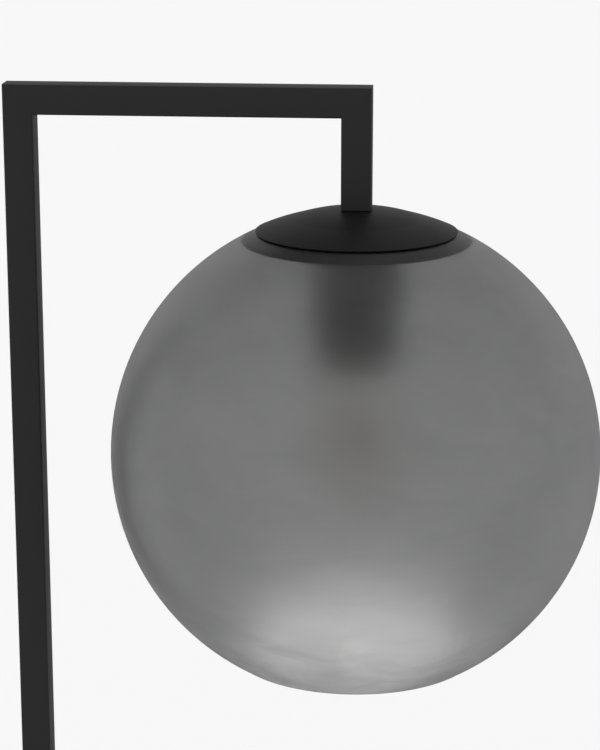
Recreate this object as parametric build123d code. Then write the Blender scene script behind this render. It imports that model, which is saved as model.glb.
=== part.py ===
from build123d import *
import os
from math import asin, cos, pi, sin, sqrt

# Globe floor lamp, in millimetres. Z is up and the floor is Z = 0, under the middle of the round base.
# The square frame stands in the XZ plane: the post at the left, the globe hanging under the arm at the right.

# frame of square tube
tube_size = 20.0
tube_wall = 1.5
tube_corner = 1.6
lamp_height = 1500.0
reach = 223.0
post_x = -95.0
drop_length = 80.8
post_joint_z = 750.0

# inner sleeve that joins the two halves of the post
coupler_gap = 0.2
coupler_wall = 1.5
coupler_length = 120.0
coupler_corner = 1.2
grub_radius = 2.5
grub_recess = 0.2
grub_levels = (-45.0, -20.0, 20.0, 45.0)

# base, from the floor upwards
base_radius = 150.0
pad_inset = 7.0
pad_thickness = 2.0
bottom_thickness = 1.5
weight_inset = 4.0
weight_thickness = 13.0
flange_size = 60.0
flange_thickness = 4.0
flange_headroom = 2.0
cover_wall = 1.5
cover_edge_round = 4.0
cover_post_gap = 0.3
rim_gap = 0.3
flange_bore = 8.0

# screws of the base
base_screw_radius = 2.0
base_screw_head = 4.0
base_screw_head_height = 1.5
base_screw_circle = 120.0
base_screw_count = 4
boss_radius = 4.5
flange_screw_radius = 3.0
flange_screw_head = 5.2
flange_screw_head_height = 3.3
flange_screw_spacing = 44.0
flange_screw_counterbore = 5.0
flange_screw_end_gap = 0.5

# cable way in the weight, and the inlet in the base's rear edge
channel_width = 26.0
channel_depth = 10.0
channel_end_x = -22.0
cable_slot_length = 22.0
cable_slot_width = 12.0
inlet_z = 8.9
inlet_bore = 3.3
inlet_hole = 4.5
inlet_flange = 5.2
inlet_flange_thickness = 1.2
inlet_play = 0.15

# terminal block on the bottom plate
block_length = 22.0
block_width = 17.0
block_height = 9.0
block_x = -47.0
block_pole_pitch = 9.0
block_wire_bore = 1.5
block_screw_radius = 1.5
block_screw_head = 2.6
block_screw_head_height = 1.6
block_screw_recess = 2.0
terminal_screw_radius = 1.4
terminal_screw_length = 3.4
terminal_screw_spacing = 14.0

# cable from the terminal block to the lampholder
cable_radius = 2.5
cable_offset = 4.0
cable_z = 8.0
cable_base_bend = 18.0
cable_post_bend = 32.0
cable_drop_bend = 26.0
cable_block_space = 10.0
wire_radius = 0.7
wire_pair_offset = 1.2
wire_bend = 2.5

# end block of the drop and the hollow threaded tube through it
plug_length = 12.0
nipple_radius = 5.0
nipple_bore = 3.75
nipple_recess = 1.5
neck_gap = 0.8
neck_washer_radius = 8.0

# glass globe
globe_radius = 165.0
glass_thickness = 2.2
globe_hole = 16.0
globe_opening = 84.7
crown_rise = 1.2

# dome cap over the glass
cap_sheet = 0.6
cap_clearance = 0.1
cap_rim = 66.75
cap_shoulder = 42.5
cap_crown = 9.0
cap_bulge = 1.3
gasket_inner = 19.0
gasket_outer = 29.0

# dished plate inside the glass
plate_sheet = 1.0
plate_rim = 75.3
plate_crown = 24.0
plate_gap = 0.5
plate_gasket_inner = 58.0
plate_gasket_outer = 73.5
bush_height = 3.6
washer_radius = 10.0
washer_thickness = 1.0
nut_across_flats = 17.0
nut_height = 4.0

# cup round the lampholder
cup_radius = 28.5
cup_wall = 0.8
cup_length = 97.0
cup_edge_round = 5.0

# lampholder for a screw cap of 27 mm
holder_radius = 19.5
holder_wall = 2.2
holder_neck_radius = 7.5
holder_neck_length = 10.0
holder_shoulder = 8.0
holder_length = 58.0
holder_split = 30.0
holder_end_gap = 1.5
core_thickness = 10.0
shell_inner = 13.3
shell_sheet = 0.5
shell_length = 23.0
contact_width = 5.0
contact_length = 14.0
contact_sheet = 0.5
contact_stub = 2.0
contact_play = 0.3
holder_screw_radius = 1.6
holder_screw_head = 2.8
holder_screw_head_height = 1.8
holder_screw_depth = 6.0
holder_screw_spacing = 20.0

# bulb
bulb_radius = 30.0
bulb_length = 118.0
bulb_neck_radius = 12.0
bulb_neck_length = 14.0
bulb_glass_sheet = 0.8
bulb_cap_radius = 13.0
bulb_cap_sheet = 0.4
bulb_cap_length = 22.0
bulb_insulator_height = 3.6
bulb_tip_radius = 4.6
bulb_tip_height = 1.4
stem_radius = 5.0
stem_rod_radius = 1.6
filament_count = 4
filament_radius = 0.9
filament_length = 36.0
filament_top_ring = 5.0
filament_bottom_ring = 9.0
filament_wire_radius = 0.35

# clearances
thread_gap = 0.05
hole_gap = 0.3
skin_gap = 0.05
recess_share = 0.5

# radii of the base
pad_radius = base_radius - pad_inset
weight_radius = base_radius - weight_inset

# levels of the base
bottom_z = pad_thickness
weight_z = bottom_z + bottom_thickness
flange_z = weight_z + weight_thickness
post_z = flange_z + flange_thickness
cover_inner_z = post_z + flange_headroom
base_height = cover_inner_z + cover_wall

# levels of the frame and the head
tube_inner = tube_size - 2 * tube_wall
inner_corner = max(tube_corner - tube_wall, 0.4)
arm_z = lamp_height - tube_size / 2
globe_x = post_x + reach
crown_height = globe_radius + crown_rise
drop_end_z = lamp_height - drop_length
globe_z = drop_end_z - neck_gap - crown_height
cap_radius = globe_radius + cap_clearance + cap_sheet
glass_inner = globe_radius - glass_thickness
plate_radius = glass_inner - plate_gap
plate_top = sqrt(plate_radius ** 2 - plate_crown ** 2)
cup_top = plate_top - plate_sheet
cup_inner_top = cup_top - cup_wall
nut_top = cup_inner_top - washer_thickness
cup_end = cup_top - cup_length
holder_end = cup_end + holder_end_gap
holder_top = holder_end + holder_length
core_bottom = holder_end + holder_split - core_thickness / 2
core_top = core_bottom + core_thickness
shell_end = core_bottom - shell_length
tip_top = core_bottom - contact_sheet - contact_stub - contact_play
bulb_cap_top = tip_top - bulb_tip_height - bulb_insulator_height
bulb_cap_end = bulb_cap_top - bulb_cap_length
bulb_end = tip_top - bulb_length
bulb_centre = bulb_end + bulb_radius


def in_head(shape):
    """Move a shape from the globe's own centre to its place in the lamp."""
    return Pos(globe_x, 0, globe_z) * shape


def ring(outer, inner, bottom, top):
    """A flat ring or short tube on the Z axis."""
    blank = Pos(0, 0, bottom) * Cylinder(outer, top - bottom, align=(Align.CENTER, Align.CENTER, Align.MIN))
    if inner <= 0:
        return blank
    bore = Pos(0, 0, bottom) * Cylinder(inner, top - bottom, align=(Align.CENTER, Align.CENTER, Align.MIN))
    return blank - bore


def rod(radius, start, end):
    """A round rod from one point to another."""
    path = Line(start, end)
    plane = Plane(origin=start, z_dir=Vector(*end) - Vector(*start))
    return sweep(plane * Circle(radius), path=path)


def turned(edges):
    """Turn a closed outline of radius and height about the Z axis."""
    return revolve(Plane.XZ * make_face(edges), Axis.Z)


def outline(*points):
    """Straight edges round a closed list of radius and height points."""
    return Polyline(*points, close=True).edges()


def on_sphere(radius, angle):
    """Radius and height of a point on a sphere, the angle counted from the top."""
    return (radius * sin(angle), radius * cos(angle))


def sphere_arc(radius, start, end):
    """An arc on a sphere's outline between two radii from the axis, both above its middle."""
    first = asin(start / radius)
    last = asin(end / radius)
    middle = on_sphere(radius, (first + last) / 2)
    return ThreePointArc(on_sphere(radius, first), middle, on_sphere(radius, last))


def rounded_bar(size, corner, length):
    """A square bar with rounded corners, standing on the XY plane."""
    return extrude(RectangleRounded(size, size, corner), length)


def square_tube(length):
    """Square tube of the frame, standing on the XY plane."""
    return rounded_bar(tube_size, tube_corner, length) - rounded_bar(tube_inner, inner_corner, length)


def screw(radius, length, head, head_height, drive):
    """A round-headed screw that points up, its head under the XY plane and a hexagon recess in it."""
    shank = Cylinder(radius, length, align=(Align.CENTER, Align.CENTER, Align.MIN))
    cap = Cylinder(head, head_height, align=(Align.CENTER, Align.CENTER, Align.MAX))
    recess_depth = head_height * recess_share
    recess = extrude(RegularPolygon(drive, 6), recess_depth)
    return shank + cap - Pos(0, 0, -head_height) * recess


def mitre(x, lean):
    """The cutting plane of a frame corner; lean is 1 at the post and -1 at the drop."""
    return Plane(origin=(x, 0, arm_z), z_dir=(lean, 0, 1))


def grub_places():
    """Heights of the grub screws in the post's rear wall."""
    return [post_joint_z + level for level in grub_levels]


def grub_holes():
    """Threaded holes for the grub screws."""
    holes = [
        rod(grub_radius + thread_gap, (post_x, 0, z), (post_x, tube_size, z))
        for z in grub_places()
    ]
    return holes[0] + holes[1:]


# base

def base_screw_places():
    """Middles of the screws that hold the base together."""
    turn = 2 * pi / base_screw_count
    angles = [turn * (i + 0.5) for i in range(base_screw_count)]
    return [(base_screw_circle * cos(a), base_screw_circle * sin(a)) for a in angles]


def flange_screw_places():
    """Middles of the screws under the post's flange."""
    half = flange_screw_spacing / 2
    return [(post_x + sx * half, sy * half) for sx in (-1, 1) for sy in (-1, 1)]


def holes_at(places, radius, bottom, top):
    """Upright round cutters at a list of places."""
    cutters = [Pos(x, y, 0) * ring(radius, 0, bottom, top) for x, y in places]
    return cutters[0] + cutters[1:]


def base_pad():
    pad = ring(pad_radius, 0, 0, pad_thickness)
    return pad - holes_at(base_screw_places(), base_screw_head + 2 * hole_gap, 0, pad_thickness)


def bottom_plate():
    plate = ring(base_radius - cover_wall - rim_gap, 0, bottom_z, weight_z)
    plate -= holes_at(base_screw_places(), base_screw_radius + hole_gap, bottom_z, weight_z)
    return plate - Pos(block_x, 0, 0) * ring(block_screw_radius + thread_gap, 0, bottom_z, weight_z)


def base_weight():
    weight = ring(weight_radius, 0, weight_z, flange_z)
    channel_length = channel_end_x + base_radius
    channel = Pos(channel_end_x, 0, weight_z) * Box(
        channel_length, channel_width, channel_depth, align=(Align.MAX, Align.CENTER, Align.MIN)
    )
    slot = extrude(SlotOverall(cable_slot_length, cable_slot_width), weight_thickness)
    places = flange_screw_places()
    weight -= channel
    weight -= Pos(post_x, 0, weight_z) * slot
    weight -= holes_at(base_screw_places(), base_screw_radius + hole_gap, weight_z, flange_z)
    weight -= holes_at(places, flange_screw_radius + hole_gap, weight_z, flange_z)
    counterbore_top = weight_z + flange_screw_counterbore
    return weight - holes_at(places, flange_screw_head + hole_gap, weight_z, counterbore_top)


def base_cover():
    outside = ring(base_radius, 0, bottom_z, base_height)
    outside = fillet(outside.edges().group_by(Axis.Z)[-1], cover_edge_round)
    inside = ring(base_radius - cover_wall, 0, bottom_z, cover_inner_z)
    inside = fillet(inside.edges().group_by(Axis.Z)[-1], cover_edge_round - cover_wall)
    post_hole = rounded_bar(tube_size + 2 * cover_post_gap, tube_corner + cover_post_gap, base_height)
    bosses = holes_at(base_screw_places(), boss_radius, flange_z, cover_inner_z)
    threads = holes_at(base_screw_places(), base_screw_radius + thread_gap, flange_z, cover_inner_z)
    inlet = rod(inlet_hole, (-base_radius - cover_wall, 0, inlet_z), (-weight_radius, 0, inlet_z))
    return outside - inside - Pos(post_x, 0, 0) * post_hole - inlet + bosses - threads


def base_screws():
    # they end just short of the cover's top sheet
    length = cover_inner_z - bottom_z - hole_gap
    one = screw(base_screw_radius, length, base_screw_head, base_screw_head_height, base_screw_radius)
    return [Pos(x, y, bottom_z) * one for x, y in base_screw_places()]


def flange_screws():
    head_z = weight_z + flange_screw_counterbore
    length = post_z - head_z - flange_screw_end_gap
    one = screw(flange_screw_radius, length, flange_screw_head, flange_screw_head_height, flange_screw_radius)
    return [Pos(x, y, head_z) * one for x, y in flange_screw_places()]


def cable_grommet():
    # a groove in its middle takes the cover's wall
    groove = cover_wall / 2 + inlet_play
    face = groove + inlet_flange_thickness
    body_radius = inlet_hole - inlet_play
    body = turned(outline(
        (inlet_bore, -face), (inlet_flange, -face), (inlet_flange, -groove), (body_radius, -groove),
        (body_radius, groove), (inlet_flange, groove), (inlet_flange, face), (inlet_bore, face),
    ))
    middle_x = -base_radius + cover_wall / 2
    return Pos(middle_x, 0, inlet_z) * Rot(0, 90, 0) * body


def terminal_places():
    """Middles of the four terminal screws, two to a pole."""
    return [
        (block_x + sx * terminal_screw_spacing / 2, sy * block_pole_pitch / 2)
        for sx in (-1, 1) for sy in (-1, 1)
    ]


def terminal_block():
    half = block_length / 2
    block_top = weight_z + block_height
    block = Pos(block_x, 0, weight_z) * Box(
        block_length, block_width, block_height, align=(Align.CENTER, Align.CENTER, Align.MIN)
    )
    for side in (-1, 1):
        y = side * block_pole_pitch / 2
        block -= rod(block_wire_bore, (block_x - half, y, cable_z), (block_x + half, y, cable_z))
    block -= holes_at(terminal_places(), terminal_screw_radius + thread_gap, cable_z, block_top)
    block -= Pos(block_x, 0, 0) * ring(block_screw_radius + hole_gap, 0, weight_z, block_top)
    recess_z = block_top - block_screw_recess
    return block - Pos(block_x, 0, 0) * ring(block_screw_head + hole_gap, 0, recess_z, block_top)


def terminal_screws():
    # each one clamps a wire from above
    foot_z = cable_z + wire_radius
    one = ring(terminal_screw_radius, 0, foot_z, foot_z + terminal_screw_length)
    slot_depth = terminal_screw_radius * recess_share
    slot = Box(2 * terminal_screw_radius, slot_depth, slot_depth, align=(Align.CENTER, Align.CENTER, Align.MAX))
    one -= Pos(0, 0, foot_z + terminal_screw_length) * slot
    return [Pos(x, y, 0) * one for x, y in terminal_places()]


def block_screw():
    seat_z = weight_z + block_height - block_screw_recess
    one = screw(block_screw_radius, seat_z - bottom_z, block_screw_head, block_screw_head_height, block_screw_radius)
    return Pos(block_x, 0, seat_z) * Rot(180, 0, 0) * one


# post and arm

def post_flange():
    plate = Pos(post_x, 0, flange_z) * Box(
        flange_size, flange_size, flange_thickness, align=(Align.CENTER, Align.CENTER, Align.MIN)
    )
    plate = fillet(plate.edges().filter_by(Axis.Z), tube_corner)
    plate -= Pos(post_x, 0, 0) * ring(flange_bore, 0, flange_z, post_z)
    return plate - holes_at(flange_screw_places(), flange_screw_radius + thread_gap, flange_z, post_z)


def lower_post():
    return Pos(post_x, 0, post_z) * square_tube(post_joint_z - post_z) - grub_holes()


def post_coupler():
    # the grub screws press it against the front wall of the post
    size = tube_inner - 2 * coupler_gap
    bore = size - 2 * coupler_wall
    sleeve = rounded_bar(size, coupler_corner, coupler_length) - rounded_bar(bore, inner_corner, coupler_length)
    return Pos(post_x, -coupler_gap, post_joint_z - coupler_length / 2) * sleeve


def grub_screws():
    inner_face = tube_inner / 2 - 2 * coupler_gap
    outer_face = tube_size / 2 - grub_recess
    screws = []
    for z in grub_places():
        one = rod(grub_radius, (post_x, inner_face, z), (post_x, outer_face, z))
        depth = (outer_face - inner_face) * recess_share
        recess = extrude(RegularPolygon(grub_radius * recess_share, 6), depth)
        screws.append(one - Pos(post_x, outer_face, z) * Rot(90, 0, 0) * recess)
    return screws


def post_upper():
    post = Pos(post_x, 0, post_joint_z) * square_tube(lamp_height - post_joint_z)
    return split(post, mitre(post_x, 1), keep=Keep.BOTTOM) - grub_holes()


def top_arm():
    half = tube_size / 2
    arm = Pos(post_x - half, 0, arm_z) * Rot(0, 90, 0) * square_tube(reach + tube_size)
    arm = split(arm, mitre(post_x, 1), keep=Keep.TOP)
    return split(arm, mitre(globe_x, -1), keep=Keep.TOP)


def drop_arm():
    drop = Pos(globe_x, 0, drop_end_z) * square_tube(drop_length)
    return split(drop, mitre(globe_x, -1), keep=Keep.BOTTOM)


def drop_plug():
    block = rounded_bar(tube_inner, inner_corner, plug_length)
    block -= ring(nipple_radius + thread_gap, 0, 0, plug_length)
    return Pos(globe_x, 0, drop_end_z) * block


# head; heights here are counted from the globe's centre

def nipple():
    drop_end = drop_end_z - globe_z
    top = drop_end + plug_length - nipple_recess
    bottom = holder_top - holder_neck_length + nipple_recess
    return in_head(ring(nipple_radius, nipple_bore, bottom, top))


def neck_washer():
    return in_head(ring(neck_washer_radius, nipple_radius + hole_gap, crown_height, crown_height + neck_gap))


def cap_line(inset):
    """Upper outline of the dome cap, moved inwards: flat crown, swelling cone, then a zone along the glass."""
    radius = cap_radius - inset
    crown = crown_height - inset
    hole = nipple_radius + hole_gap
    shoulder = on_sphere(radius, asin(cap_shoulder / radius))
    run = shoulder[0] - cap_crown
    fall = crown - shoulder[1]
    chord = sqrt(run ** 2 + fall ** 2)
    middle = (
        (cap_crown + shoulder[0]) / 2 + cap_bulge * fall / chord,
        (crown + shoulder[1]) / 2 + cap_bulge * run / chord,
    )
    return [
        Line((hole, crown), (cap_crown, crown)),
        ThreePointArc((cap_crown, crown), middle, shoulder),
        sphere_arc(radius, cap_shoulder, cap_rim),
    ]


def sheet_between(upper, lower):
    """The closed outline between two lines that run from the hole to the rim."""
    hole_edge = Line(upper[0] @ 0, lower[0] @ 0)
    rim_edge = Line(upper[-1] @ 1, lower[-1] @ 1)
    return upper + [rim_edge] + lower + [hole_edge]


def shade_cap():
    return in_head(turned(sheet_between(cap_line(0), cap_line(cap_sheet))))


def cap_gasket():
    # it fills the space between the cone of the cap and the glass
    upper = cap_line(cap_sheet + skin_gap)
    hole = nipple_radius + hole_gap
    floor = [Line((hole, glass_inner / 2), (cap_rim, glass_inner / 2))]
    space = turned(sheet_between(upper, floor)) - Sphere(globe_radius + skin_gap)
    return in_head(space & ring(gasket_outer, gasket_inner, 0, crown_height))


def globe():
    middle_radius = globe_radius - glass_thickness / 2
    top_angle = asin(globe_hole / middle_radius)
    low_angle = pi - asin(globe_opening / middle_radius)
    lip_angle = low_angle + glass_thickness / 2 / middle_radius
    half_way = (top_angle + low_angle) / 2
    outer_top = on_sphere(globe_radius, top_angle)
    outer_low = on_sphere(globe_radius, low_angle)
    inner_top = on_sphere(glass_inner, top_angle)
    inner_low = on_sphere(glass_inner, low_angle)
    return in_head(turned([
        ThreePointArc(outer_top, on_sphere(globe_radius, half_way), outer_low),
        ThreePointArc(outer_low, on_sphere(middle_radius, lip_angle), inner_low),
        ThreePointArc(inner_low, on_sphere(glass_inner, half_way), inner_top),
        Line(inner_top, outer_top),
    ]))


def centring_bush():
    bush = ring(globe_hole - hole_gap, nipple_radius + hole_gap, plate_top, plate_top + bush_height)
    return in_head(bush)


def plate_line(inset):
    """Upper outline of the dished plate, moved inwards: a flat middle, then a zone along the glass."""
    level = plate_top - inset
    radius = sqrt(level ** 2 + plate_crown ** 2)
    return [
        Line((nipple_radius + hole_gap, level), (plate_crown, level)),
        sphere_arc(radius, plate_crown, plate_rim),
    ]


def shade_plate():
    return in_head(turned(sheet_between(plate_line(0), plate_line(plate_sheet))))


def plate_gasket():
    upper = [sphere_arc(glass_inner - skin_gap, plate_gasket_inner, plate_gasket_outer)]
    lower = [sphere_arc(plate_radius + skin_gap, plate_gasket_inner, plate_gasket_outer)]
    return in_head(turned(sheet_between(upper, lower)))


def holder_cup():
    outside = ring(cup_radius, 0, cup_end, cup_top)
    outside = fillet(outside.edges().group_by(Axis.Z)[-1], cup_edge_round)
    inside = ring(cup_radius - cup_wall, 0, cup_end, cup_inner_top)
    inside = fillet(inside.edges().group_by(Axis.Z)[-1], cup_edge_round - cup_wall)
    return in_head(outside - inside - ring(nipple_radius + hole_gap, 0, cup_inner_top, cup_top))


def plate_washer():
    return in_head(ring(washer_radius, nipple_radius + hole_gap, nut_top, cup_inner_top))


def plate_nut():
    blank = extrude(RegularPolygon(nut_across_flats / 2, 6, major_radius=False), nut_height)
    blank -= ring(nipple_radius + thread_gap, 0, 0, nut_height)
    return in_head(Pos(0, 0, nut_top - nut_height) * blank)


# lampholder

def holder_cover():
    neck_end = holder_top - holder_neck_length
    shoulder_z = neck_end - holder_shoulder
    split_z = holder_end + holder_split
    thread = nipple_radius + thread_gap
    inner = holder_radius - holder_wall
    return in_head(turned(outline(
        (thread, holder_top), (holder_neck_radius, holder_top), (holder_neck_radius, neck_end),
        (holder_radius, shoulder_z), (holder_radius, split_z), (inner, split_z),
        (inner, shoulder_z - holder_wall / 2), (holder_neck_radius, neck_end - holder_wall), (thread, neck_end - holder_wall),
    )))


def holder_body():
    split_z = holder_end + holder_split
    return in_head(ring(holder_radius, holder_radius - holder_wall, holder_end, split_z))


def holder_screw_places():
    """Middles of the two terminal screws on the core."""
    return [(side * holder_screw_spacing / 2, 0) for side in (-1, 1)]


def holder_core():
    core = ring(holder_radius - holder_wall - hole_gap, 0, core_bottom, core_top)
    thread_z = core_top - holder_screw_depth
    return in_head(core - holes_at(holder_screw_places(), holder_screw_radius + thread_gap, thread_z, core_top))


def holder_screws():
    one = screw(
        holder_screw_radius, holder_screw_depth, holder_screw_head, holder_screw_head_height, holder_screw_radius
    )
    return [in_head(Pos(x, y, core_top) * Rot(180, 0, 0) * one) for x, y in holder_screw_places()]


def screw_shell():
    return in_head(ring(shell_inner + shell_sheet, shell_inner, shell_end, core_bottom))


def centre_contact():
    strip = Pos(0, 0, core_bottom) * Box(
        contact_length, contact_width, contact_sheet, align=(Align.CENTER, Align.CENTER, Align.MAX)
    )
    stub_top = core_bottom - contact_sheet
    return in_head(strip + ring(contact_stub, 0, stub_top - contact_stub, stub_top))


# bulb

def bulb_glass_line(inset):
    """Outline of the bulb's glass, moved inwards: the neck, a flare that meets the ball, and the ball."""
    ball = bulb_radius - inset
    neck = bulb_neck_radius - inset
    neck_end = bulb_cap_end
    # the flare's arc is tangent to the neck and to the ball
    drop = neck_end - bulb_centre
    flare = (drop ** 2 + neck ** 2 - ball ** 2) / (2 * (ball - neck))
    flare_x = neck + flare
    slope = sqrt(flare_x ** 2 + drop ** 2)
    meet = (ball * flare_x / slope, bulb_centre + ball * drop / slope)
    half_x = -flare_x + meet[0]
    half_z = meet[1] - neck_end
    toward = (half_x - flare, half_z)
    length = sqrt(toward[0] ** 2 + toward[1] ** 2)
    flare_middle = (flare_x + flare * toward[0] / length, neck_end + flare * toward[1] / length)
    return [
        Line((neck, neck_end + bulb_neck_length), (neck, neck_end)),
        ThreePointArc((neck, neck_end), flare_middle, meet),
        ThreePointArc(meet, (ball, bulb_centre), (0, bulb_centre - ball)),
    ]


def bulb_glass():
    outer = bulb_glass_line(0)
    inner = bulb_glass_line(bulb_glass_sheet)
    neck_edge = Line(outer[0] @ 0, inner[0] @ 0)
    pole_edge = Line(outer[-1] @ 1, inner[-1] @ 1)
    return in_head(turned(outer + [pole_edge] + inner + [neck_edge]))


def bulb_cap():
    outside = ring(bulb_cap_radius, 0, bulb_cap_end, bulb_cap_top)
    inside = ring(bulb_cap_radius - bulb_cap_sheet, 0, bulb_cap_end, bulb_cap_top - bulb_cap_sheet)
    return in_head(outside - inside)


def bulb_insulator():
    top = bulb_cap_top + bulb_insulator_height
    return in_head(turned(outline(
        (0, bulb_cap_top), (bulb_cap_radius - bulb_cap_sheet, bulb_cap_top), (bulb_tip_radius, top), (0, top),
    )))


def bulb_tip():
    return in_head(ring(bulb_tip_radius, 0, tip_top - bulb_tip_height, tip_top))


def filament_levels():
    """Heights of the filaments' upper and lower ends."""
    middle = bulb_centre + bulb_radius * recess_share / 2
    return middle + filament_length / 2, middle - filament_length / 2


def bulb_stem():
    # a glass foot in the neck with a rod down the middle
    low = filament_levels()[1] - stem_rod_radius
    foot_top = bulb_cap_end + bulb_neck_length
    foot = ring(stem_radius, 0, bulb_cap_end, foot_top)
    flange = ring(bulb_neck_radius - bulb_glass_sheet - skin_gap, 0, foot_top - stem_rod_radius, foot_top)
    return in_head(foot + flange + ring(stem_rod_radius, 0, low, bulb_cap_end))


def filament_ends():
    """Upper and lower end of each filament, alternately wide and narrow round the stem."""
    upper, lower = filament_levels()
    ends = []
    for i in range(filament_count):
        angle = 2 * pi * i / filament_count
        top = (filament_top_ring * cos(angle), filament_top_ring * sin(angle), upper)
        low = (filament_bottom_ring * cos(angle), filament_bottom_ring * sin(angle), lower)
        ends.append((top, low))
    return ends


def bulb_filaments():
    return [in_head(rod(filament_radius, top, low)) for top, low in filament_ends()]


def bulb_wires():
    """Wires from the stem's rod to each end of each filament."""
    wires = []
    for i, pair in enumerate(filament_ends()):
        angle = 2 * pi * i / filament_count
        for end, reach_out in zip(pair, (filament_top_ring, filament_bottom_ring)):
            start_r = stem_rod_radius + skin_gap
            end_r = reach_out - filament_radius - skin_gap
            start = (start_r * cos(angle), start_r * sin(angle), end[2])
            stop = (end_r * cos(angle), end_r * sin(angle), end[2])
            wires.append(in_head(rod(filament_wire_radius, start, stop)))
    return wires


# cable

def inner_cable():
    block_end = block_x - block_length / 2
    sheath_x = block_end - cable_block_space
    post_line = post_x - cable_offset
    arm_line = arm_z + cable_offset
    end_z = globe_z + holder_top - holder_neck_length
    route = FilletPolyline(
        (sheath_x, 0, cable_z), (post_line, 0, cable_z), (post_line, 0, arm_line),
        (globe_x, 0, arm_line), (globe_x, 0, end_z),
        radius=[cable_base_bend, cable_post_bend, cable_drop_bend],
    )
    start = Plane(origin=(sheath_x, 0, cable_z), z_dir=(-1, 0, 0))
    return sweep(start * Circle(cable_radius), path=route)


def bent_wire(*points):
    """One wire with small bends."""
    route = FilletPolyline(*points, radius=wire_bend)
    start = Plane(origin=points[0], z_dir=Vector(*points[1]) - Vector(*points[0]))
    return sweep(start * Circle(wire_radius), path=route)


def base_wires():
    """Two wires from the cable's sheath to the poles of the terminal block."""
    block_end = block_x - block_length / 2
    sheath_x = block_end - cable_block_space
    bend_step = cable_block_space / 3
    wires = []
    for side in (-1, 1):
        near = side * wire_pair_offset
        pole = side * block_pole_pitch / 2
        wires.append(bent_wire(
            (sheath_x, near, cable_z), (sheath_x + bend_step, near, cable_z),
            (block_end - bend_step / 2, pole, cable_z), (block_end + block_length / 3, pole, cable_z),
        ))
    return wires


def holder_wires():
    """Two wires from the cable's sheath to the terminal screws of the lampholder."""
    sheath_z = globe_z + holder_top - holder_neck_length
    core_z = globe_z + core_top
    fall = sheath_z - core_z
    clamp = holder_screw_spacing / 2 - holder_screw_head - wire_radius - skin_gap
    wires = []
    for side in (-1, 1):
        near = globe_x + side * wire_pair_offset
        outer = globe_x + side * clamp
        wires.append(bent_wire(
            (near, 0, sheath_z), (near, 0, sheath_z - fall / 3), (outer, 0, core_z + fall / 3), (outer, 0, core_z),
        ))
    return wires


def grouped(made):
    """One shape for a node: a group of separate solids stays separate."""
    if isinstance(made, list):
        return Compound(children=[solid for item in made for solid in item.solids()])
    return made


makers = [
    base_pad, bottom_plate, base_weight, base_cover, base_screws, flange_screws, cable_grommet,
    terminal_block, terminal_screws, block_screw, post_flange, lower_post, post_coupler, grub_screws,
    post_upper, top_arm, drop_arm, drop_plug, nipple, neck_washer, shade_cap, cap_gasket, globe,
    centring_bush, shade_plate, plate_gasket, holder_cup, plate_washer, plate_nut, holder_cover,
    holder_body, holder_core, holder_screws, screw_shell, centre_contact, bulb_glass, bulb_cap,
    bulb_insulator, bulb_tip, bulb_stem, bulb_filaments, bulb_wires, inner_cable, base_wires,
    holder_wires,
]

os.makedirs("parts", exist_ok=True)
for maker in makers:
    shape = grouped(maker())
    export_step(shape, f"parts/{maker.__name__}.step")
    print(maker.__name__, len(shape.solids()), round(shape.volume))
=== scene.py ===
from math import atan2, ceil, pi, radians
import bpy
import bmesh
import numpy as np
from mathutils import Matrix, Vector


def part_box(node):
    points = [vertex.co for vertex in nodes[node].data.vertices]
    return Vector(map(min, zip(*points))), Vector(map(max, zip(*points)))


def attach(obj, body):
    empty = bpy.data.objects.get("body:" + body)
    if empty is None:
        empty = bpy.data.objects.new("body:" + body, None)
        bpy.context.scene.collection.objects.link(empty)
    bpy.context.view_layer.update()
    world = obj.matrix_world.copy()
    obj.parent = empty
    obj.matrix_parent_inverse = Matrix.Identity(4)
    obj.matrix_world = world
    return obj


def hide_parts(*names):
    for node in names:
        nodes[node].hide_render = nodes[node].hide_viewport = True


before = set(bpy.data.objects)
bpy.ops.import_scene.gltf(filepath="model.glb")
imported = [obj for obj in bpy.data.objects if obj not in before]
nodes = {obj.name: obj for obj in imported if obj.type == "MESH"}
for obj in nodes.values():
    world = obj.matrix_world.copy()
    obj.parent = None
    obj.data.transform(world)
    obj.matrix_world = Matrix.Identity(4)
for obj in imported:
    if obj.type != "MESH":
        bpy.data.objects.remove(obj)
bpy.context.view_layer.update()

mm = 0.001
weldDistance = 1e-7    # metres
print("frame loaded:", len(nodes), "nodes")


def nodeBox(name):
    # lowest and highest corner of a CAD node, as arrays in metres
    low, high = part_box(name)
    return np.array(low), np.array(high)


def rounded(corners, closed=False, steps=6):
    # An outline of straight runs with round corners. Each corner is (a, b, radius). The arc's centre lies on
    # the corner's bisector, at radius / sin(half the corner's angle), and its points are
    # centre + radius * (cos t, sin t).
    pts = np.array([c[:2] for c in corners], float)
    radii = [c[2] if len(c) > 2 else 0.0 for c in corners]
    count = len(pts)
    out = []
    for i in range(count):
        here, r = pts[i], radii[i]
        if r <= 0 or (not closed and i in (0, count - 1)):
            out.append(here[None])
            continue
        back = pts[i - 1] - here
        ahead = pts[(i + 1) % count] - here
        back, ahead = back / np.linalg.norm(back), ahead / np.linalg.norm(ahead)
        half = np.arccos(np.clip(back @ ahead, -1, 1)) / 2
        bisector = (back + ahead) / np.linalg.norm(back + ahead)
        centre = here + bisector * r / np.sin(half)
        start = here + back * r / np.tan(half) - centre
        end = here + ahead * r / np.tan(half) - centre
        a0, a1 = atan2(start[1], start[0]), atan2(end[1], end[0])
        turn = (a1 - a0 + pi) % (2 * pi) - pi
        t = a0 + turn * np.linspace(0, 1, steps + 1)
        out.append(centre + r * np.stack([np.cos(t), np.sin(t)], 1))
    return np.concatenate(out)


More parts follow.
